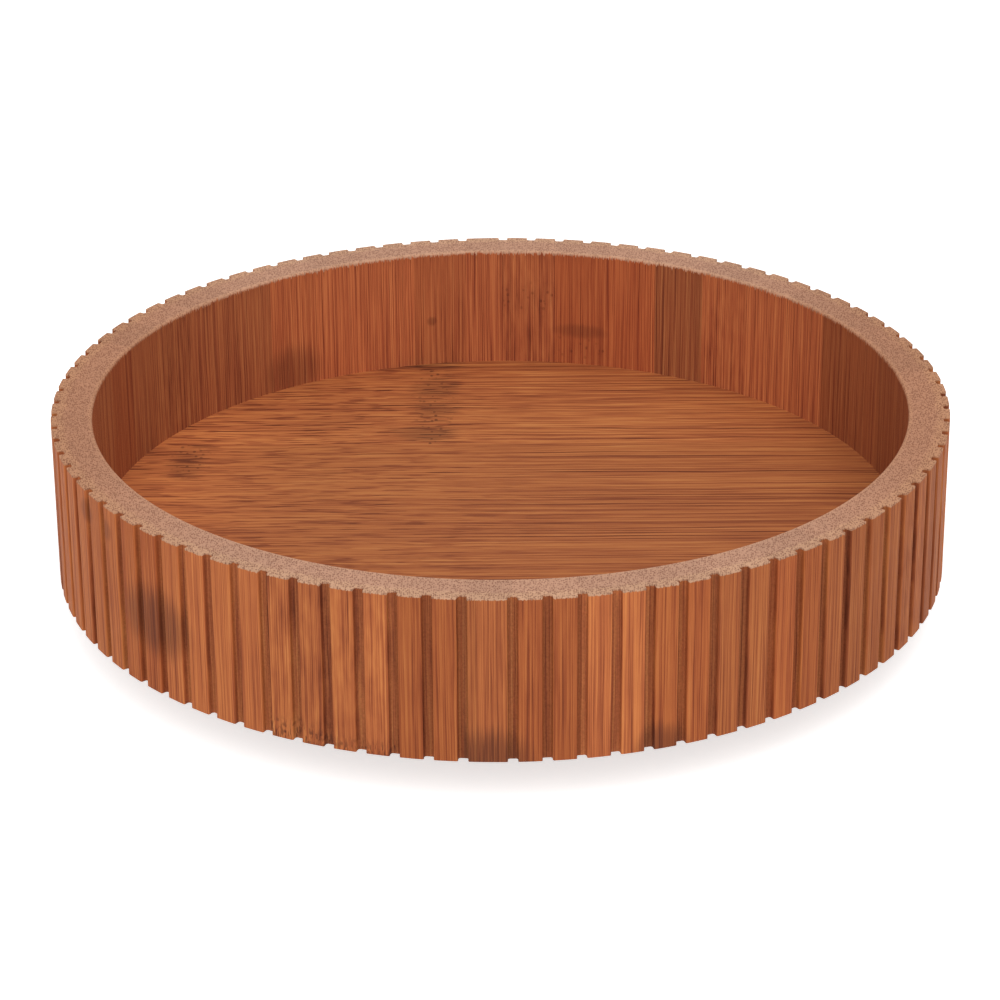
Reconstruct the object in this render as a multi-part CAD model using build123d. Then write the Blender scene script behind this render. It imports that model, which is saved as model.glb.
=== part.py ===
from build123d import *
import os
from math import cos, hypot, radians, sin

# Lazy susan turntable: a round fluted bamboo tray that turns on a ball bearing over a smaller base.
# Millimetres. The origin is on the turning axis, on the surface that the feet stand on.
# +Z is up and -Y is the front. Angles are in degrees, anticlockwise from +X.

# Tray wall, coopered from upright staves
tray_diameter = 250.0
wall_height = 46.25
wall_thickness = 11.4
right_staves = 22
left_staves = 21
closing_stave_angle = 5.83
front_closing_angle = 268.35
groove_width = 2.6
groove_depth = 1.8
groove_corner = 0.6
rib_corner = 0.4
inner_edge_round = 0.8

# Floor panel, housed in a groove inside the wall
floor_thickness = 5.0
housing_depth = 4.5
housing_clearance = 0.3
skirt_depth = 4.5

# Base disc and its feet
base_margin = 8.0
base_thickness = 8.0
base_edge_round = 2.0
access_hole_diameter = 12.0
foot_diameter = 16.0
foot_height = 2.0
foot_taper = 1.2
foot_edge_round = 0.6
foot_inset = 14.0

# Ball bearing: an inner ring on the base, an outer ring under the tray, balls and their cage
ball_diameter = 4.76
ball_count = 20
ball_circle_diameter = 120.0
ball_cover = 1.12
race_clearance = 0.25
ring_width = 11.0
ring_gap = 2.0
ring_step = 0.6
ring_edge_chamfer = 0.4
cage_thickness = 1.2
cage_end_clearance = 0.3
pocket_clearance = 0.15

# Countersunk screws
screw_count = 4
screw_diameter = 3.0
screw_head_diameter = 6.0
screw_head_land = 0.3
screw_tip = 1.5
screw_clearance = 0.05
screw_setback = 6.0
hole_overrun = 1.0
tray_screw_bite = 3.6
base_screw_bite = 5.5

# Radii that follow from the sizes above
tray_radius = tray_diameter / 2
inner_radius = tray_radius - wall_thickness
housing_radius = inner_radius + housing_depth
ball_radius = ball_diameter / 2
ball_circle = ball_circle_diameter / 2
race_radius = ball_radius + race_clearance
outer_ring_inside = ball_circle + ring_gap / 2
inner_ring_outside = ball_circle - ring_gap / 2
base_radius = outer_ring_inside + ring_width + base_margin
foot_circle = base_radius - foot_inset
tray_screw_circle = outer_ring_inside + screw_setback
base_screw_circle = inner_ring_outside - screw_setback

# Heights that follow from the sizes above
bearing_height = ball_diameter + 2 * ball_cover
ring_height = bearing_height - ring_step
base_bottom = foot_height
base_top = base_bottom + base_thickness
ball_level = base_top + bearing_height / 2
floor_bottom = base_top + bearing_height
wall_bottom = floor_bottom - skirt_depth

FROM_BELOW = (Align.CENTER, Align.CENTER, Align.MIN)
NEAR = 0.01


def polar(radius, angle):
    """The point at this radius and angle in plan."""
    return (radius * cos(radians(angle)), radius * sin(radians(angle)))


def disc(radius, height, level):
    """A round plate whose underside is at this level."""
    return Pos(Z=level) * Cylinder(radius, height, align=FROM_BELOW)


def round_places(count, radius, level, first=0.0):
    """Evenly spaced places on a circle about the turning axis, each with +X pointing outwards."""
    turns = [first + 360 * i / count for i in range(count)]
    return [Rot(Z=turn) * Pos(X=radius, Z=level) for turn in turns]


def stave_layout():
    """Name, start angle, end angle and rib count of each stave, anticlockwise from the front.

    An ordinary stave has two ribs. The stave that closes each half of the ring has one wide rib.
    """
    numbers = range(1, right_staves + left_staves + 1)
    ordinary = (360 - 2 * closing_stave_angle) / len(numbers)
    right = [(f"wall_stave_{n:02d}", ordinary, 2) for n in numbers[:right_staves]]
    left = [(f"wall_stave_{n:02d}", ordinary, 2) for n in numbers[right_staves:]]
    front = [("closing_stave_front", closing_stave_angle, 1)]
    back = [("closing_stave_back", closing_stave_angle, 1)]
    layout = []
    start = front_closing_angle - closing_stave_angle / 2
    for name, width, ribs in front + right + back + left:
        layout.append((name, start, start + width, ribs))
        start += width
    return layout


def wall_stave(start, end, ribs):
    """One stave: a slice of the ring, grooved outside, with its joints at the bottom of grooves."""
    outside = CenterArc((0, 0), tray_radius, start, end - start)
    inside = CenterArc((0, 0), inner_radius, start, end - start)
    first_joint = Line(polar(inner_radius, start), polar(tray_radius, start))
    last_joint = Line(polar(inner_radius, end), polar(tray_radius, end))
    plan = make_face([outside, last_joint, inside, first_joint])
    groove = RectangleRounded(2 * groove_depth, groove_width, groove_corner)
    for i in range(ribs + 1):
        angle = start + (end - start) * i / ribs
        plan -= Rot(Z=angle) * Pos(X=tray_radius) * groove
    corners = [v for v in plan.vertices() if abs(hypot(v.X, v.Y) - tray_radius) < NEAR]
    plan = fillet(corners, rib_corner)
    stave = Pos(Z=wall_bottom) * extrude(plan, wall_height, dir=(0, 0, 1))
    stave -= disc(housing_radius, floor_thickness, floor_bottom)
    top_edges = stave.edges().group_by(Axis.Z)[-1].filter_by(GeomType.CIRCLE)
    inner_edge = [e for e in top_edges if abs(e.radius - inner_radius) < NEAR]
    return fillet(inner_edge, inner_edge_round)


def screw_form(length, head_radius, shank_radius, overrun=0.0):
    """A countersunk screw that points up, with its head flush at the origin."""
    cone_end = screw_head_land + head_radius - shank_radius
    outline = Polyline(
        (0, -overrun),
        (head_radius, -overrun),
        (head_radius, screw_head_land),
        (shank_radius, cone_end),
        (shank_radius, length - screw_tip),
        (0, length),
        close=True,
    )
    return revolve(Plane.XZ * make_face(outline), Axis.Z)


def screw(bite):
    """A screw that goes through a bearing ring and bites this deep into the bamboo."""
    return screw_form(ring_height + bite, screw_head_diameter / 2, screw_diameter / 2)


def screw_hole(bite):
    """The countersunk hole and pilot hole that the screw sits in."""
    head = screw_head_diameter / 2 + screw_clearance
    shank = screw_diameter / 2 + screw_clearance
    return screw_form(ring_height + bite + screw_clearance, head, shank, hole_overrun)


tray_screw_places = round_places(screw_count, tray_screw_circle, floor_bottom - ring_height)
base_screw_places = [
    place * Rot(X=180)
    for place in round_places(screw_count, base_screw_circle, base_top + ring_height)
]


def bearing_ring(inside_radius, bottom):
    """A ring of square section, with the ball race cut into the side that faces the balls."""
    bar = Rectangle(ring_width, ring_height)
    bar = chamfer(bar.vertices(), ring_edge_chamfer)
    bar = Pos(inside_radius + ring_width / 2, bottom + ring_height / 2) * bar
    race = Pos(ball_circle, ball_level) * Circle(race_radius)
    return revolve(Plane.XZ * (bar - race), Axis.Z)


def outer_ring():
    """The bearing ring that is screwed up into the floor panel."""
    ring = bearing_ring(outer_ring_inside, floor_bottom - ring_height)
    return ring - [place * screw_hole(tray_screw_bite) for place in tray_screw_places]


def inner_ring():
    """The bearing ring that is screwed down to the base disc."""
    ring = bearing_ring(inner_ring_outside - ring_width, base_top)
    return ring - [place * screw_hole(base_screw_bite) for place in base_screw_places]


def ball_cage():
    """A thin band between the rings, with a round pocket for each ball."""
    height = bearing_height - 2 * cage_end_clearance
    bottom = base_top + cage_end_clearance
    band = disc(ball_circle + cage_thickness / 2, height, bottom)
    band -= disc(ball_circle - cage_thickness / 2, height, bottom)
    pocket = Rot(Y=90) * Cylinder(ball_radius + pocket_clearance, 3 * cage_thickness)
    return band - [place * pocket for place in round_places(ball_count, ball_circle, ball_level)]


def balls():
    """The bearing balls, each a solid of its own."""
    places = round_places(ball_count, ball_circle, ball_level)
    return [place * Sphere(ball_radius) for place in places]


def floor_panel():
    """The round tray floor, with a pilot hole for each screw of the outer ring."""
    panel = disc(housing_radius - housing_clearance, floor_thickness, floor_bottom)
    return panel - [place * screw_hole(tray_screw_bite) for place in tray_screw_places]


def base_disc():
    """The disc under the bearing, with the hole through which the tray screws are driven."""
    base = disc(base_radius, base_thickness, base_bottom)
    lower_edge = base.edges().filter_by(GeomType.CIRCLE).group_by(Axis.Z)[0]
    base = fillet(lower_edge, base_edge_round)
    base -= [place * screw_hole(base_screw_bite) for place in base_screw_places]
    access = disc(access_hole_diameter / 2, base_thickness, base_bottom)
    return base - Pos(X=tray_screw_circle) * access


def foot():
    """A tapered rubber foot, widest where it is stuck to the base."""
    profile = make_face(
        Polyline(
            (0, 0),
            (foot_diameter / 2 - foot_taper, 0),
            (foot_diameter / 2, foot_height),
            (0, foot_height),
            close=True,
        )
    )
    lower_corner = profile.vertices().group_by(Axis.Y)[0].sort_by(Axis.X)[-1]
    return revolve(Plane.XZ * fillet(lower_corner, foot_edge_round), Axis.Z)


feet_names = ("foot_back_right", "foot_back_left", "foot_front_left", "foot_front_right")
feet_places = round_places(len(feet_names), foot_circle, 0, first=45)

pieces = {name: wall_stave(*slice_) for name, *slice_ in stave_layout()}
pieces["floor_panel"] = floor_panel()
pieces["bearing_outer_ring"] = outer_ring()
pieces["bearing_inner_ring"] = inner_ring()
pieces["ball_cage"] = ball_cage()
pieces["bearing_balls"] = Compound(balls())
pieces["tray_screws"] = Compound([place * screw(tray_screw_bite) for place in tray_screw_places])
pieces["base_screws"] = Compound([place * screw(base_screw_bite) for place in base_screw_places])
pieces["base_disc"] = base_disc()
for name, place in zip(feet_names, feet_places):
    pieces[name] = place * foot()

os.makedirs("parts", exist_ok=True)
for name, piece in pieces.items():
    export_step(piece, f"parts/{name}.step")
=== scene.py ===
from math import cos, radians, sin

import bmesh
import bpy
from mathutils import Matrix, Vector


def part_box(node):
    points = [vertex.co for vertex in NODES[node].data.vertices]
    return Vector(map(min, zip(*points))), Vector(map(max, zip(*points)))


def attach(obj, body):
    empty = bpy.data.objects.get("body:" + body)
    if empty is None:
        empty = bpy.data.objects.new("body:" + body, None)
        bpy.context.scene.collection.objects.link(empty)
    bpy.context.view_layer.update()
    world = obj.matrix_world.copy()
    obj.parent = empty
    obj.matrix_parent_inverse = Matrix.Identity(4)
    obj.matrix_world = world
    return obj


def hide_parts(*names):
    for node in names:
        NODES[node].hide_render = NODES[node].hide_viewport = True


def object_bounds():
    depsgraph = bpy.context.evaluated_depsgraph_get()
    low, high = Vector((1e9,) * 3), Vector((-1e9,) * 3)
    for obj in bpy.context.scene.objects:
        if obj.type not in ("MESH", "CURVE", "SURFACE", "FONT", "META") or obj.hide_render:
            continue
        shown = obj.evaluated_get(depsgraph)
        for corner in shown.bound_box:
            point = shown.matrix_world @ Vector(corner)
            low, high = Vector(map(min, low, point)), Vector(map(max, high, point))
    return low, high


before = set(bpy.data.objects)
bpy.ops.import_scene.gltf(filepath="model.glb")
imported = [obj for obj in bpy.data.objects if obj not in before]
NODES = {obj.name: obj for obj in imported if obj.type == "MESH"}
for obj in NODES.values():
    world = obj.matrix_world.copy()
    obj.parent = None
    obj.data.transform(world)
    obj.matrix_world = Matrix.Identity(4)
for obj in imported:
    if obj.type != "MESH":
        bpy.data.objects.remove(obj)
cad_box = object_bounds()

# Pieces by kind
STAVES = sorted(name for name in NODES if "stave" in name)
FEET = sorted(name for name in NODES if name.startswith("foot"))

# Sizes in metres, read from the pieces
MILLIMETRE = 0.001
WALL_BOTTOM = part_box(STAVES[0])[0].z
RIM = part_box(STAVES[0])[1].z
FLOOR_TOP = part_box("floor_panel")[1].z
WALL_RADIUS = cad_box[1].x

# Sizes in millimetres, which the materials work in
WALL_THICKNESS = 11.4
OUTER_RADIUS = WALL_RADIUS / MILLIMETRE
INNER_RADIUS = OUTER_RADIUS - WALL_THICKNESS
RIM_LEVEL = RIM / MILLIMETRE
FLOOR_LEVEL = FLOOR_TOP / MILLIMETRE
ARC_PER_DEGREE = radians(1) * WALL_RADIUS / MILLIMETRE

# Wall layout. Angles are in degrees, anticlockwise from +X. From the front closing stave, number -1,
# the staves count on round the right side, over the back closing stave, number 22, to the left side
CLOSING_ANGLE = 5.83
FRONT_CLOSING_MIDDLE = 268.35
FIRST_STAVE_START = FRONT_CLOSING_MIDDLE - CLOSING_ANGLE / 2
RIGHT_STAVES = 22
STAVE_ANGLE = (360 - 2 * CLOSING_ANGLE) / (len(STAVES) - 2)
LEFT_SIDE_START = 2 * CLOSING_ANGLE + RIGHT_STAVES * STAVE_ANGLE
RIBS_PER_STAVE = 2.0

# Camera, fitted to the rim and the foot of the wall in the photo
CAMERA_ELEVATION = 24.715
CAMERA_DISTANCE = 8.043 * WALL_RADIUS
CAMERA_ROLL = -0.3206
FOCAL_PIXELS = 3559.5
AIM_PIXEL = (500.86, 473.1)
IMAGE_SIZE = 1000
SENSOR_WIDTH = 36.0

WHITE = (1, 1, 1, 1)


def linear(red, green, blue):
    """A colour as it looks on screen, from 0 to 255, in linear light."""
    def channel(value):
        share = value / 255
        return share / 12.92 if share <= 0.04045 else ((share + 0.055) / 1.055) ** 2.4
    return (channel(red), channel(green), channel(blue), 1.0)


class Number:
    """A node's output that takes part in plain arithmetic."""

    def __init__(self, graph, socket):
        self.graph = graph
        self.socket = socket

    def __add__(self, other):
        return self.graph.math("ADD", self, other)

    def __sub__(self, other):
        return self.graph.math("SUBTRACT", self, other)

    def __rsub__(self, other):
        return self.graph.math("SUBTRACT", other, self)

    def __mul__(self, other):
        return self.graph.math("MULTIPLY", self, other)

    def __truediv__(self, other):
        return self.graph.math("DIVIDE", self, other)

    def __abs__(self):
        return self.graph.math("ABSOLUTE", self)

    __rmul__ = __mul__


class Graph:
    """A node tree, with short calls that add nodes to it."""

    def __init__(self, owner):
        owner.use_nodes = True
        self.owner = owner
        self.tree = owner.node_tree

    def plug(self, socket, value):
        """Links a node's output to the socket, or sets a plain value."""
        if isinstance(value, Number):
            self.tree.links.new(value.socket, socket)
        else:
            socket.default_value = value

    def add(self, kind, output=0, settings=None, **inputs):
        """One output of a new node. Input names have underscores for spaces."""
        node = self.tree.nodes.new(kind)
        for key, value in (settings or {}).items():
            setattr(node, key, value)
        for key, value in inputs.items():
            self.plug(node.inputs[key.replace("_", " ")], value)
        return Number(self, node.outputs[output])

    def math(self, operation, *values):
        """The result of a math node."""
        node = self.tree.nodes.new("ShaderNodeMath")
        node.operation = operation
        for socket, value in zip(node.inputs, values):
            self.plug(socket, value)
        return Number(self, node.outputs[0])

    def larger(self, first, second):
        """The larger of two values."""
        return self.math("MAXIMUM", first, second)

    def vector(self, x, y, z):
        """A vector of three values."""
        return self.add("ShaderNodeCombineXYZ", X=x, Y=y, Z=z)

    def split(self, vector):
        """The x, y and z of a vector."""
        node = self.tree.nodes.new("ShaderNodeSeparateXYZ")
        self.plug(node.inputs[0], vector)
        return [Number(self, socket) for socket in node.outputs]

    def place(self):
        """The x, y and z on the piece in millimetres."""
        metres = self.split(self.add("ShaderNodeTexCoord", output="Object"))
        return [value * (1 / MILLIMETRE) for value in metres]

    def upright(self):
        """How far the surface faces straight up or down, from 0 to 1."""
        return abs(self.split(self.add("ShaderNodeTexCoord", output="Normal"))[2])

    def noise(self, x, y, z, detail=2.0, roughness=0.5):
        """Fractal noise about a half."""
        return self.add("ShaderNodeTexNoise", Vector=self.vector(x, y, z), Scale=1.0,
                        Detail=detail, Roughness=roughness)

    def cells(self, x, y, z, randomness=1.0):
        """Distance to the nearest of a scatter of points, from even rows to a loose scatter."""
        return self.add("ShaderNodeTexVoronoi", Vector=self.vector(x, y, z), Scale=1.0,
                        Randomness=randomness)

    def random(self, number, seed):
        """A steady random value from 0 to 1 for each whole number."""
        return self.add("ShaderNodeTexWhiteNoise", settings={"noise_dimensions": "2D"},
                        Vector=self.vector(number, seed, 0.0))

    def ease(self, value, zero_at, one_at):
        """A smooth step between the value that gives 0 and the value that gives 1."""
        return self.add("ShaderNodeMapRange", settings={"interpolation_type": "SMOOTHSTEP"},
                        Value=value, From_Min=zero_at, From_Max=one_at)

    def one_of(self, value, numbers):
        """1 where the value is one of the whole numbers, else 0."""
        found = self.math("COMPARE", value, float(numbers[0]), 0.5)
        for number in numbers[1:]:
            found = found + self.math("COMPARE", value, float(number), 0.5)
        return found

    def mix(self, share, first, second, blend="MIX"):
        """The first colour, with a share of the second blended in."""
        node = self.tree.nodes.new("ShaderNodeMix")
        node.data_type = "RGBA"
        node.blend_type = blend
        self.plug(node.inputs["Factor"], share)
        self.plug(node.inputs[6], first)
        self.plug(node.inputs[7], second)
        return Number(self, node.outputs[2])

    def tint(self, share, colour, filter_colour):
        """The colour seen through a filter."""
        return self.mix(share, colour, filter_colour, "MULTIPLY")

    def dim(self, colour, factor):
        """The colour times a number."""
        grey = self.add("ShaderNodeCombineColor", Red=factor, Green=factor, Blue=factor)
        return self.tint(1.0, colour, grey)

    def ramp(self, value, *stops):
        """Colours by value. Each stop is a value and a colour."""
        node = self.tree.nodes.new("ShaderNodeValToRGB")
        elements = node.color_ramp.elements
        while len(elements) < len(stops):
            elements.new(1.0)
        for element, (place, colour) in zip(elements, stops):
            element.position = place
            element.color = colour
        self.plug(node.inputs["Fac"], value)
        return Number(self, node.outputs["Color"])


class Material(Graph):
    """A new material."""

    def __init__(self, name):
        super().__init__(bpy.data.materials.new(name))
        self.shader = self.tree.nodes["Principled BSDF"]

    def bump(self, height, distance):
        """Shapes the surface by a height from 0 to 1 over a distance in metres."""
        self.plug(self.shader.inputs["Normal"],
                  self.add("ShaderNodeBump", Height=height, Distance=distance, Strength=1.0))

    def finish(self, colour, roughness, metallic=0.0, specular=0.5):
        """Sets the shader's values and gives the material."""
        self.plug(self.shader.inputs["Base Color"], colour)
        self.plug(self.shader.inputs["Roughness"], roughness)
        self.shader.inputs["Metallic"].default_value = metallic
        self.shader.inputs["Specular IOR Level"].default_value = specular
        return self.owner


# Caramelised bamboo, from its darkest fibres to its palest, by tone
BAMBOO_TONES = (
    (0.20, linear(96, 46, 28)),
    (0.38, linear(146, 77, 46)),
    (0.50, linear(170, 95, 55)),
    (0.62, linear(188, 112, 63)),
    (0.80, linear(206, 134, 78)),
)
BAMBOO_ROUGHNESS = 0.66
ROUGHNESS_BY_GRAIN = 0.25
END_GRAIN_ROUGHER = 0.1
BAMBOO_SPECULAR = 0.12

# Where the tone of a dark cloud starts and is full: squared distance from its middle, in half sizes
CLOUD_START = 1.5
CLOUD_FULL = 0.1


def cloud(graph, first, second, strength):
    """Depth of a dark cloud at a place two ways from its middle, in half sizes."""
    return graph.ease(first * first + second * second, CLOUD_START, CLOUD_FULL) * strength


def tick_rows(graph, rows, strip, along, ticks):
    """Depth of the rows of ticks that cross single strips."""
    depth = 0.0
    for number, middle, half_length, strength in rows:
        near = graph.ease(abs(along - middle), zero_at=half_length, one_at=0.0)
        row = near * graph.one_of(strip, (number,)) * ticks * strength
        depth = graph.larger(row, depth)
    return depth


# Staves that stand out, by number. The last two lists, of inside staves, carry painted shade on the
# inner side walls
PALE_STAVES = (1, 24, 25, 26, 35, 36, 37, 39, 40)
RED_STAVES = (0, 2, 4, 19, 20, 31, 38, 43)
FIGURED_STAVES = (41, 42, 7, 17, 21, 29)
DEEP_SHADE_INSIDE_STAVES = (9, 10, 11, 12, 13, 14)
SOFT_SHADE_INSIDE_STAVES = (18, 27, 28, 29, 30, 31, 32, 33)

# Brightness of a stave, how much it varies from stave to stave and from rib to rib, what is added on
# some of them, the painted light added on the inside of the wall, and the painted shade taken away on
# some inside staves
STAVE_BRIGHTNESS = 0.9
STAVE_VARIATION = 0.16
RIB_VARIATION = 0.14
PALE_GAIN = 0.14
INSIDE_LIGHT_GAIN = 0.2
SOFT_SHADE_LOSS = 0.1
DEEP_SHADE_LOSS = 0.35

# Tone of the wall's bamboo, and the painted light added to it on the inside
WALL_TONE = 0.535
INSIDE_LIGHT_TONE = 0.03

# Dark clouds on the wall: angle, level, half width and half height in millimetres, depth of tone
OUTER_CLOUDS = (
    (208.4, 52.5, 4.0, 3.5, 0.5),
    (213.8, 52.0, 3.0, 3.0, 0.45),
    (223.6, 33.5, 13.5, 10.0, 0.72),
    (268.3, 13.0, 12.0, 9.0, 0.75),
    (289.0, 13.0, 7.5, 7.0, 0.7),
)
INNER_CLOUDS = (
    (77.3, 33.0, 9.5, 2.4, 0.45),
    (100.7, 36.4, 1.8, 1.5, 0.55),
    (124.0, 27.0, 11.0, 9.0, 0.55),
)

# Rows of fine dark ticks where the cane had a joint: stave, level and half height, depth of tone
OUTER_TICKS = ((41, 14.5, 6.0, 0.95), (42, 13.6, 4.5, 0.75), (38, 31.0, 6.0, 0.4))
INNER_TICKS = ((21, 43.0, 8.0, 0.7), (20, 27.5, 6.0, 0.6), (26, 24.0, 5.0, 0.4))

# Depths from the outer face, in millimetres: where the inside begins, and where a flute's colour,
# partly painted shade, starts and is full
OUTSIDE_DEPTH = 6.0
FLUTE_START = 0.3
FLUTE_FULL = 1.1

# Seeds that keep the grain of the staves, and of their two sides, apart
STAVE_SEED = 17.3
OUTSIDE_SEED = 400.0

# Height of the surface relief in metres, and the share of it that pores in the flutes and dots in
# the end grain take
WALL_RELIEF = 0.12 * MILLIMETRE
PORE_RELIEF = 0.6
DOT_RELIEF = 0.3

# Filters and colours of the wall
RED_FILTER = linear(250, 240, 236)
# Painted light: makes the inside of the wall less red, against the red of the light it bounces
INSIDE_LIGHT_FILTER = linear(244, 238, 255)
# Painted shade: makes the soft-shade inside staves less red
SOFT_SHADE_FILTER = linear(243, 252, 255)
# Painted shade in the flutes
FLUTE_SHADE_FILTER = linear(240, 244, 255)
WALL_KNOT = linear(84, 44, 32)
RIM_FRINGE = linear(96, 44, 26)
END_GRAIN = linear(194, 148, 122)
END_GRAIN_OUTER = linear(214, 170, 134)
# Painted highlight along the rim's inner edge
END_GRAIN_INNER_HIGHLIGHT = linear(220, 172, 136)
END_GRAIN_DOTS = linear(136, 92, 72)
END_GRAIN_SIDES_FILTER = linear(240, 226, 214)


class WallBamboo(Material):
    """Bamboo staves: upright grain on the sides, flutes darkened partly by painted shade, pale dotted
    end grain on the rim with a painted highlight at its inner edge, and painted light and shade on the
    inside of the wall.
    """

    def __init__(self):
        super().__init__("wall_bamboo")
        self.x, self.y, self.z = self.place()
        self.radius = self.math("SQRT", self.x * self.x + self.y * self.y)
        self.outside = self.math("GREATER_THAN", self.radius, OUTER_RADIUS - OUTSIDE_DEPTH)
        self.inside = 1.0 - self.outside
        self.number_staves()
        self.draw_grain()

    def number_staves(self):
        """Numbers the staves by their angle, and gives each of their two sides a seed."""
        angle = self.math("DEGREES", self.math("ARCTAN2", self.y, self.x))
        self.turn = self.math("FLOORED_MODULO", angle - FIRST_STAVE_START, 360.0)
        self.along = self.turn * ARC_PER_DEGREE
        self.left = self.math("GREATER_THAN", self.turn, LEFT_SIDE_START)
        past_closing = self.turn - CLOSING_ANGLE - self.left * (LEFT_SIDE_START - CLOSING_ANGLE)
        self.steps = past_closing / STAVE_ANGLE
        self.stave = self.math("FLOOR", self.steps) + self.left * (RIGHT_STAVES + 1.0)
        self.seed = self.stave * STAVE_SEED + self.outside * OUTSIDE_SEED

    def by_side(self, outside, inside):
        """One value on the outside of the wall and another on the inside."""
        return self.inside * (inside - outside) + outside

    def strands(self, pitch, stretch, offset, **settings):
        """Noise drawn out along the staves, with so many waves per millimetre across and along."""
        return self.noise(self.across * pitch, self.z * stretch, self.seed + offset, **settings)

    def draw_grain(self):
        """Draws fibres in ribbons, thin dark lines, and a flame figure on some staves."""
        waver = (self.noise(self.along * 0.12, self.z * 0.03, self.seed) - 0.5) * 0.8
        self.across = (self.along + waver) * self.by_side(outside=1.0, inside=1.4)
        self.fibre = self.strands(pitch=3.2, stretch=0.018, offset=0.0, roughness=0.65)
        ribbon = self.strands(pitch=0.9, stretch=0.012, offset=40.0, detail=1.0)
        streak = self.strands(pitch=2.2, stretch=0.02, offset=80.0, detail=1.0)
        flame = self.strands(pitch=0.45, stretch=0.11, offset=120.0)
        self.lines = self.ease(streak, zero_at=0.46, one_at=0.38)
        fibre_weight = self.by_side(outside=0.75, inside=1.0)
        ribbon_weight = 0.24
        flame_weight = self.one_of(self.stave, FIGURED_STAVES) * 0.25 + 0.1
        line_weight = self.by_side(outside=0.11, inside=0.16)
        ribboned = (self.fibre - 0.5) * fibre_weight + (ribbon - 0.5) * ribbon_weight
        self.grain = ribboned + (flame - 0.5) * flame_weight - self.lines * line_weight

    def stave_colour(self):
        """The colour of the grain in each stave's tint, with painted light on the inside of the wall
        and painted shade on some inside staves.
        """
        pale = self.one_of(self.stave, PALE_STAVES)
        red = self.one_of(self.stave, RED_STAVES)
        # Painted shade on the inner side walls: the inside staves of the two shade lists are darker,
        # and the first list is also less red
        soft_shade = self.one_of(self.stave, SOFT_SHADE_INSIDE_STAVES) * self.inside
        dark = self.one_of(self.stave, DEEP_SHADE_INSIDE_STAVES) * self.inside
        rib = self.math("FLOOR", self.steps * RIBS_PER_STAVE)
        by_stave = self.random(self.stave, seed=1.0) * STAVE_VARIATION
        by_rib = (self.random(rib, seed=self.left + 2.0) - 0.5) * self.outside * RIB_VARIATION
        brightness = by_stave + STAVE_BRIGHTNESS + pale * PALE_GAIN + by_rib
        # Painted light on the inside of the wall: brighter here, paler in tone below, and less red
        # through its filter
        brightness = brightness + self.inside * INSIDE_LIGHT_GAIN - soft_shade * SOFT_SHADE_LOSS - dark * DEEP_SHADE_LOSS
        colour = self.ramp(self.grain + self.inside * INSIDE_LIGHT_TONE + WALL_TONE, *BAMBOO_TONES)
        colour = self.dim(colour, brightness)
        colour = self.tint(red, colour, RED_FILTER)
        colour = self.tint(self.inside, colour, INSIDE_LIGHT_FILTER)
        return self.tint(soft_shade, colour, SOFT_SHADE_FILTER)

    def with_shaded_flutes(self, colour):
        """The colour, mottled from the cutter and darker in the flutes, partly the cut fibres' tone
        and partly painted shade.
        """
        depth = self.ease(self.radius, OUTER_RADIUS - FLUTE_START, OUTER_RADIUS - FLUTE_FULL)
        self.flute = depth * self.outside
        self.pores = self.noise(self.x * 1.7, self.y * 1.7, self.z * 1.7, detail=1.0)
        # Partly painted shade: darker and bluer in the flutes, on top of the cut fibres' own tone
        brightness = self.pores * 0.5 + 0.68
        cut = self.tint(1.0, self.dim(colour, brightness), FLUTE_SHADE_FILTER)
        return self.mix(self.flute, colour, cut)

    def marks(self, spots, rows, ragged, ticks):
        """Depth of the clouds and rows of ticks on one side of the wall."""
        depth = 0.0
        for angle, level, half_width, half_height, strength in spots:
            from_start = (angle - FIRST_STAVE_START) % 360
            across = (self.turn - from_start) * (ARC_PER_DEGREE / half_width)
            upwards = (self.z - level) * (1 / half_height) + ragged
            depth = self.larger(cloud(self, across, upwards, strength), depth)
        return self.larger(depth, tick_rows(self, rows, self.stave, self.z, ticks))

    def with_marks(self, colour):
        """The colour with the dark clouds and ticks of the cane's joints."""
        ragged = (self.fibre - 0.5) * 1.4
        scatter = self.cells(self.along * 0.5, self.z * 0.45, self.seed)
        pits = self.ease(scatter, zero_at=0.36, one_at=0.14)
        streak = self.strands(pitch=2.2, stretch=self.outside * 0.3 + 0.1, offset=160.0)
        frayed = self.ease(streak, zero_at=0.5, one_at=0.42)
        frayed_weight = self.outside * 0.5 + 0.4
        ticks = self.larger(pits, frayed * frayed_weight)
        outer = self.marks(OUTER_CLOUDS, OUTER_TICKS, ragged, ticks)
        inner = self.marks(INNER_CLOUDS, INNER_TICKS, ragged, ticks)
        depth = inner + (outer - inner) * self.outside
        deeper_in_lines = self.lines * 0.3 + 0.75
        return self.mix(depth * deeper_in_lines, colour, WALL_KNOT)

    def end_grain(self):
        """A fine stipple, paler towards the outer edge of the rim, with a painted highlight along its
        inner edge, warmer at the sides of the tray.
        """
        stipple = self.cells(self.x * 2.0, self.y * 1.25, 0.0, randomness=0.6)
        self.dots = self.ease(stipple, zero_at=0.65, one_at=0.2)
        cloudy = self.noise(self.x * 0.4, self.y * 0.4, 0.0) - 0.5
        outer_part = self.ease(self.radius + cloudy * 3.0, OUTER_RADIUS - 4.5, OUTER_RADIUS - 2.6)
        # Painted highlight: a paler band along the rim's inner edge
        inner_edge_highlight = self.ease(self.radius, INNER_RADIUS + 1.5, INNER_RADIUS + 0.4)
        at_sides = self.ease(abs(self.x), zero_at=60.0, one_at=120.0)
        brightness = self.random(self.stave, seed=4.0) * 0.12 + 0.9 + cloudy * 0.25
        colour = self.mix(outer_part * 0.45, END_GRAIN, END_GRAIN_OUTER)
        colour = self.mix(self.dots * 0.85, colour, END_GRAIN_DOTS)
        colour = self.dim(colour, brightness)
        colour = self.mix(inner_edge_highlight * 0.25, colour, END_GRAIN_INNER_HIGHLIGHT)
        return self.tint(at_sides, colour, END_GRAIN_SIDES_FILTER)

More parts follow.
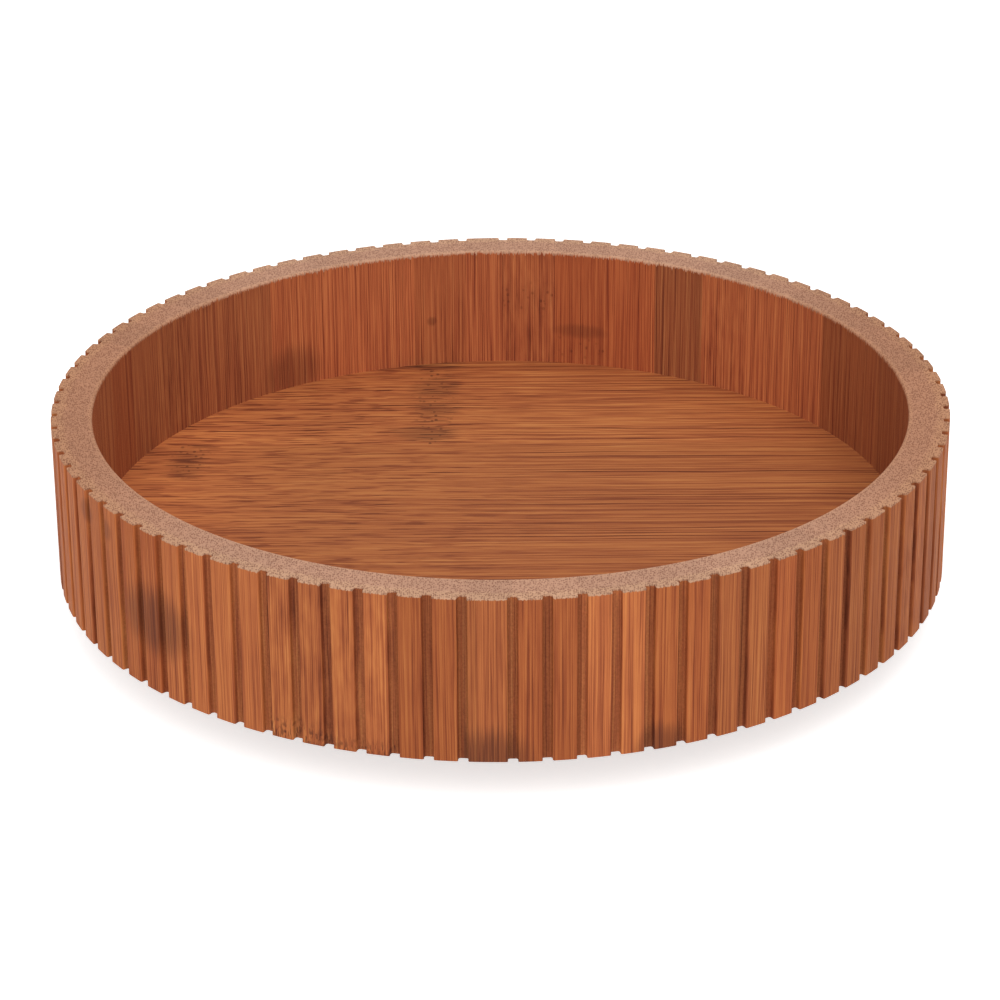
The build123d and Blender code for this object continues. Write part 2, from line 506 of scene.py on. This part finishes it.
    def finished(self):
        """The material with all its layers, ragged where the sides meet the end grain."""
        sides = self.with_marks(self.with_shaded_flutes(self.stave_colour()))
        end_grain = self.end_grain()
        below_rim = RIM_LEVEL - self.z
        fuzz = self.noise(self.along * 2.2, 0.0, self.seed)
        fray = (fuzz - 0.5) * self.by_side(outside=1.1, inside=3.6) + self.inside * 0.42 + 0.38
        on_rim = self.ease(self.upright(), zero_at=0.95, one_at=0.99)
        on_end = self.larger(on_rim, self.ease(below_rim, fray + 0.1, fray - 0.1))
        near_rim = self.ease(below_rim, zero_at=4.0, one_at=0.3)
        fringe = near_rim * self.ease(fuzz, zero_at=0.52, one_at=0.68) * self.inside
        sides = self.mix(fringe * 0.55, sides, RIM_FRINGE)
        side_relief = self.grain - self.flute * self.pores * PORE_RELIEF
        relief = (1.0 - on_end) * side_relief - on_end * self.dots * DOT_RELIEF
        self.bump(relief, WALL_RELIEF)
        roughness = BAMBOO_ROUGHNESS - self.grain * ROUGHNESS_BY_GRAIN + on_end * END_GRAIN_ROUGHER
        return self.finish(self.mix(on_end, sides, end_grain), roughness, specular=BAMBOO_SPECULAR)


# Strips of a board run along X. The strip that starts at this edge on Y is number 0, and the numbers
# go up along Y. The seed keeps their grain apart
STRIP_EDGE = 50.5
STRIP_WIDTH = 57.0
COARSE_STRIPS = (0, 1)
STRIP_SEED = 23.7
BOARD_RELIEF = 0.1 * MILLIMETRE

# Marks on the tray floor: clouds by place, half sizes in millimetres and depth of tone, and rows of
# ticks by strip, place along X, half length and depth. The ticks fade out between two places along Y
FLOOR_CLOUDS = (
    (-21.0, 110.0, 10.0, 4.0, 0.7),
    (-20.0, 92.0, 7.0, 7.0, 0.6),
    (-19.0, 76.0, 7.0, 5.0, 0.65),
    (-22.0, 58.0, 10.0, 6.0, 0.75),
    (-92.0, 37.0, 5.0, 12.0, 0.45),
)
FLOOR_TICKS = ((0, -20.0, 9.0, 0.95), (-1, -91.0, 9.0, 0.9))
TICKS_END = 22.0
TICKS_FULL = 34.0

# Tone, filter and brightness of the boards, and the painted light added to the brightness at the far
# left
BOARD_TONE = 0.59
BOARD_FILTER = linear(249, 254, 255)
BOARD_BRIGHTNESS = 0.93
STRIP_VARIATION = 0.1
FAR_LEFT_LIGHT_GAIN = 0.35
BOARD_KNOT = linear(84, 46, 32)


class BoardBamboo(Material):
    """Bamboo board of wide strips: long dark lines to the right, shorter dashes to the left."""

    def __init__(self, name, seed):
        super().__init__(name)
        self.x, self.y, z = self.place()
        self.below = z - FLOOR_LEVEL
        self.strip = self.math("FLOOR", (self.y - STRIP_EDGE) / STRIP_WIDTH)
        self.coarse = self.one_of(self.strip, COARSE_STRIPS)
        self.seed = seed
        self.shift = self.strip * STRIP_SEED + seed
        waver = (self.noise(self.x * 0.012, self.y * 0.04, self.shift) - 0.5) * 4.0
        self.across = (self.y + waver) * (1.0 - self.coarse * 0.3)
        self.draw_grain()

    def strands(self, pitch, stretch, offset, **settings):
        """Noise drawn out along the strips and alike across them and through their depth."""
        depth = self.below * pitch + self.shift + offset
        return self.noise(self.x * stretch, self.across * pitch, depth, **settings)

    def draw_grain(self):
        """Draws fine fibres, long lines, thin lines and short dashes."""
        self.fibre = self.strands(pitch=1.8, stretch=0.04, offset=0.0, roughness=0.6)
        long_streak = self.strands(pitch=0.9, stretch=0.003, offset=40.0, detail=1.0)
        thin_streak = self.strands(pitch=1.5, stretch=0.009, offset=60.0, detail=1.0)
        short_streak = self.strands(pitch=1.4, stretch=0.1, offset=80.0, detail=1.0)
        broad = self.strands(pitch=0.06, stretch=0.01, offset=120.0)
        line = self.ease(long_streak, zero_at=0.47, one_at=0.4)
        thin = self.ease(thin_streak, zero_at=0.49, one_at=0.41)
        self.dash = self.ease(short_streak, zero_at=0.48, one_at=0.38)
        to_left = self.ease(self.x, zero_at=30.0, one_at=-50.0)
        fibre_weight = self.coarse * 0.2 + 0.6
        broad_weight = 0.15
        line_weight = 0.15 - self.coarse * 0.04 - to_left * 0.09
        thin_weight = self.coarse * 0.05 + 0.13 - to_left * 0.07
        dash_weight = to_left * 0.16 + 0.03
        grain = (self.fibre - 0.5) * fibre_weight + (broad - 0.5) * broad_weight - line * line_weight
        self.grain = grain - thin * thin_weight - self.dash * dash_weight

    def marks(self, spots, rows):
        """Depth of the clouds and rows of ticks."""
        ragged = (self.fibre - 0.5) * 2.6
        depth = 0.0
        for middle_x, middle_y, half_x, half_y, strength in spots:
            along = (self.x - middle_x) * (1 / half_x) + ragged
            across = (self.y - middle_y) * (1 / half_y)
            depth = self.larger(cloud(self, along, across, strength), depth)
        deeper_in_dashes = self.dash * 0.8 + 0.55
        scatter = self.cells(self.x * 0.5, self.y * 0.36, self.shift)
        pits = self.ease(scatter, zero_at=0.36, one_at=0.16)
        ticks = self.larger(pits * 0.8, self.dash * 0.7) * self.ease(self.y, TICKS_END, TICKS_FULL)
        depth = depth * deeper_in_dashes
        return self.larger(tick_rows(self, rows, self.strip, self.x, ticks), depth)

    def finished(self, spots=(), rows=()):
        """The material with these marks."""
        # Painted light: brighter at the far left of the boards, where the wall shades the floor
        far_left_light = self.ease(self.x, zero_at=-50.0, one_at=-110.0)
        by_strip = self.random(self.strip, self.seed) * STRIP_VARIATION
        brightness = by_strip + BOARD_BRIGHTNESS + far_left_light * FAR_LEFT_LIGHT_GAIN
        colour = self.ramp(self.grain + BOARD_TONE, *BAMBOO_TONES)
        colour = self.tint(1.0, colour, BOARD_FILTER)
        colour = self.dim(colour, brightness)
        colour = self.mix(self.marks(spots, rows), colour, BOARD_KNOT)
        self.bump(self.grain, BOARD_RELIEF)
        roughness = BAMBOO_ROUGHNESS - self.grain * ROUGHNESS_BY_GRAIN
        return self.finish(colour, roughness, specular=BAMBOO_SPECULAR)


# Waves per millimetre and height in metres of the relief of turning, plating and moulding
TURNING_PITCH = 6.0
TURNING_RELIEF = 0.01 * MILLIMETRE
PLATING_PITCH = 0.9
PLATING_RELIEF = 0.004 * MILLIMETRE
MOULDED_RELIEF = 0.04 * MILLIMETRE

# Places of the dark and the light colour on the scale of the noise that they follow
DARK_STOP = 0.3
LIGHT_STOP = 0.7


def turned_aluminium():
    """Satin aluminium with fine turning lines round the axis."""
    graph = Material("turned_aluminium")
    x, y, z = graph.place()
    radius = graph.math("SQRT", x * x + y * y)
    lines = graph.noise(radius * TURNING_PITCH, z * TURNING_PITCH, 0.0, detail=3.0)
    dark, light = linear(176, 178, 180), linear(214, 216, 218)
    colour = graph.ramp(lines, (DARK_STOP, dark), (LIGHT_STOP, light))
    graph.bump(lines, TURNING_RELIEF)
    return graph.finish(colour, lines * 0.2 + 0.26, metallic=1.0)


def plated_steel(name, dark, light, roughness):
    """Plated or polished steel with a faint mottle."""
    graph = Material(name)
    x, y, z = graph.place()
    mottle = graph.noise(x * PLATING_PITCH, y * PLATING_PITCH, z * PLATING_PITCH, detail=3.0)
    graph.bump(mottle, PLATING_RELIEF)
    colour = graph.ramp(mottle, (DARK_STOP, dark), (LIGHT_STOP, light))
    return graph.finish(colour, mottle * 0.12 + roughness, metallic=1.0)


def moulded(name, dark, light, pitch, roughness):
    """Moulded plastic or rubber with a fine surface grain."""
    graph = Material(name)
    x, y, z = graph.place()
    grain = graph.noise(x * pitch, y * pitch, z * pitch, detail=4.0, roughness=0.6)
    graph.bump(grain, MOULDED_RELIEF)
    colour = graph.ramp(grain, (DARK_STOP, dark), (LIGHT_STOP, light))
    return graph.finish(colour, grain * 0.15 + roughness)


def wear(material, *names):
    """Gives the named pieces this material."""
    for name in names:
        for material_slot in NODES[name].material_slots:
            material_slot.material = material


BALL_STEEL = plated_steel("ball_steel", dark=linear(190, 191, 193), light=linear(222, 223, 225),
                          roughness=0.08)
SCREW_STEEL = plated_steel("screw_steel", dark=linear(158, 158, 152), light=linear(196, 196, 190),
                           roughness=0.28)
CAGE_NYLON = moulded("cage_nylon", dark=linear(214, 210, 196), light=linear(232, 229, 218),
                     pitch=0.9, roughness=0.42)
FOOT_RUBBER = moulded("foot_rubber", dark=linear(22, 22, 23), light=linear(38, 38, 39),
                      pitch=1.4, roughness=0.62)

wear(WallBamboo().finished(), *STAVES)
wear(BoardBamboo("floor_bamboo", seed=4.0).finished(FLOOR_CLOUDS, FLOOR_TICKS), "floor_panel")
wear(BoardBamboo("base_bamboo", seed=61.0).finished(), "base_disc")
wear(turned_aluminium(), "bearing_outer_ring", "bearing_inner_ring")
wear(BALL_STEEL, "bearing_balls")
wear(SCREW_STEEL, "tray_screws", "base_screws")
wear(CAGE_NYLON, "ball_cage")
wear(FOOT_RUBBER, *FEET)


# Screws of each node, and the cross recess in each head: half length and half width of its arms at the
# face of the head, its depth, how far the cutter stands out, its size at the bottom as a share, and
# its turn in degrees from screw to screw
SCREW_COUNT = 4
SCREW_HEAD_RADIUS = 3.0 * MILLIMETRE
RECESS_REACH = 1.6 * MILLIMETRE
RECESS_ARM = 0.42 * MILLIMETRE
RECESS_DEPTH = 1.3 * MILLIMETRE
RECESS_OVERRUN = 0.1 * MILLIMETRE
RECESS_TAPER = 0.5
RECESS_TURN = 37.0

# Corners closer than this become one, and edges that turn by more than this angle are shaded sharp
MERGE_DISTANCE = 0.001 * MILLIMETRE
SHARP_ANGLE = 30.0


def new_piece(name, shape):
    """An object of this shape."""
    mesh = bpy.data.meshes.new(name)
    shape.to_mesh(mesh)
    shape.free()
    piece = bpy.data.objects.new(name, mesh)
    bpy.context.collection.objects.link(piece)
    return piece


def cross_corners(scale, level):
    """Corners of a cross at this level, anticlockwise."""
    reach = RECESS_REACH * scale
    arm = RECESS_ARM * scale
    corners = []
    for quarter in range(4):
        turn = Matrix.Rotation(radians(90 * quarter), 3, "Z")
        for x, y in ((reach, -arm), (reach, arm), (arm, arm)):
            corners.append(turn @ Vector((x, y, level)))
    return corners


def recess_cutter(places):
    """A tapered cross at each place, which cuts the recess there."""
    bottom_corners = cross_corners(RECESS_TAPER, -RECESS_DEPTH)
    top_corners = cross_corners(1.0, RECESS_OVERRUN)
    shape = bmesh.new()
    for place in places:
        bottom = [shape.verts.new(place @ corner) for corner in bottom_corners]
        top = [shape.verts.new(place @ corner) for corner in top_corners]
        shape.faces.new(top)
        shape.faces.new(bottom[::-1])
        for i in range(len(top)):
            shape.faces.new((bottom[i - 1], bottom[i], top[i], top[i - 1]))
    return new_piece("recess_cutter", shape)


def head_places(node, heads_up):
    """Places on the faces of a node's screw heads, with Z out of the head, each turned another way."""
    low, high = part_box(node)
    circle = high.x - SCREW_HEAD_RADIUS
    level = high.z if heads_up else low.z
    facing = Matrix.Rotation(radians(0 if heads_up else 180), 4, "X")
    places = []
    for i in range(SCREW_COUNT):
        around = Matrix.Rotation(radians(360 * i / SCREW_COUNT), 4, "Z")
        turned = Matrix.Rotation(radians(RECESS_TURN * i), 4, "Z")
        places.append(around @ Matrix.Translation((circle, 0, level)) @ facing @ turned)
    return places


def carve(piece, cutter):
    """Cuts the cutter's shape out of the piece, and removes the cutter."""
    piece.modifiers.new("recess", "BOOLEAN").object = cutter
    depsgraph = bpy.context.evaluated_depsgraph_get()
    piece.data = bpy.data.meshes.new_from_object(piece.evaluated_get(depsgraph))
    piece.modifiers.clear()
    bpy.data.objects.remove(cutter)


def shade_by_angle(mesh):
    """Smooth shading with sharp edges, in place of the normals that the solid came with."""
    if "custom_normal" in mesh.attributes:
        mesh.attributes.remove(mesh.attributes["custom_normal"])
    mesh.shade_smooth()
    mesh.set_sharp_from_angle(angle=radians(SHARP_ANGLE))


def cross_headed(node, body, heads_up):
    """The screws of a node with a cross recess in each head."""
    shape = bmesh.new()
    shape.from_mesh(NODES[node].data)
    bmesh.ops.remove_doubles(shape, verts=shape.verts, dist=MERGE_DISTANCE)
    screws = new_piece(f"cross_headed_{node}", shape)
    carve(screws, recess_cutter(head_places(node, heads_up)))
    shade_by_angle(screws.data)
    screws.data.materials.clear()
    screws.data.materials.append(SCREW_STEEL)
    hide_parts(node)
    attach(screws, body)


cross_headed("tray_screws", "tray", heads_up=False)
cross_headed("base_screws", "base", heads_up=True)


# The studio: size of the floor and its distance below the feet in metres, how far it glows where it
# is seen, and how strongly the white surroundings light the object
FLOOR_SIZE = 6.0
FLOOR_CLEARANCE = 0.1 * MILLIMETRE
FLOOR_GLOW = 0.62
WORLD_LIGHT = 0.5


def shown_directly(graph):
    """1 for what the camera, a mirror or clear glass shows, and 0 for lighting."""
    shown = graph.add("ShaderNodeLightPath", output="Is Camera Ray")
    for output in ("Is Glossy Ray", "Is Transmission Ray"):
        shown = graph.larger(shown, graph.add("ShaderNodeLightPath", output=output))
    return shown


def studio_floor():
    """A pale floor that looks white where it is lit and keeps a soft shadow."""
    bpy.ops.mesh.primitive_plane_add(size=FLOOR_SIZE, location=(0, 0, -FLOOR_CLEARANCE))
    floor = bpy.context.object
    floor.name = "studio_floor"
    graph = Material("studio_floor")
    graph.finish(linear(240, 240, 240), 0.9, specular=0.0)
    graph.shader.inputs["Emission Color"].default_value = WHITE
    graph.plug(graph.shader.inputs["Emission Strength"], shown_directly(graph) * FLOOR_GLOW)
    floor.data.materials.append(graph.owner)


def studio_world():
    """White behind the object, and soft light from all round."""
    world = bpy.data.worlds.new("studio")
    bpy.context.scene.world = world
    graph = Graph(world)
    background = graph.tree.nodes["Background"]
    background.inputs["Color"].default_value = WHITE
    strength = shown_directly(graph) * (1.0 - WORLD_LIGHT) + WORLD_LIGHT
    graph.plug(background.inputs["Strength"], strength)


def softbox(name, place, size, power):
    """A large square lamp that faces the tray."""
    data = bpy.data.lights.new(name, "AREA")
    data.shape = "SQUARE"
    data.size = size
    data.energy = power
    lamp = bpy.data.objects.new(name, data)
    bpy.context.collection.objects.link(lamp)
    lamp.location = place
    aim = Vector((0, 0, FLOOR_TOP)) - lamp.location
    lamp.rotation_euler = aim.to_track_quat("-Z", "Y").to_euler()


def photo_camera():
    """The camera of the photo: its place, lens, tilt and roll."""
    data = bpy.data.cameras.new("photo_camera")
    data.sensor_width = SENSOR_WIDTH
    data.lens = SENSOR_WIDTH * FOCAL_PIXELS / IMAGE_SIZE
    camera = bpy.data.objects.new("photo_camera", data)
    bpy.context.collection.objects.link(camera)
    middle = Vector((0, 0, (WALL_BOTTOM + RIM) / 2))
    elevation = radians(CAMERA_ELEVATION)
    place = middle + CAMERA_DISTANCE * Vector((0, -cos(elevation), sin(elevation)))
    right_pixels = AIM_PIXEL[0] - IMAGE_SIZE / 2
    down_pixels = AIM_PIXEL[1] - IMAGE_SIZE / 2
    facing = (Matrix.Rotation(radians(90) - elevation, 4, "X")
              @ Matrix.Rotation(down_pixels / FOCAL_PIXELS, 4, "X")
              @ Matrix.Rotation(right_pixels / FOCAL_PIXELS, 4, "Y")
              @ Matrix.Rotation(radians(CAMERA_ROLL), 4, "Z"))
    camera.matrix_world = Matrix.Translation(place) @ facing
    bpy.context.scene.camera = camera


studio_floor()
studio_world()
softbox("front_softbox", place=(-0.15, -1.3, 1.0), size=2.0, power=15.5)
softbox("top_softbox", place=(0.2, 0.0, 1.6), size=1.6, power=9.5)
photo_camera()
bpy.context.scene.view_settings.view_transform = "Standard"
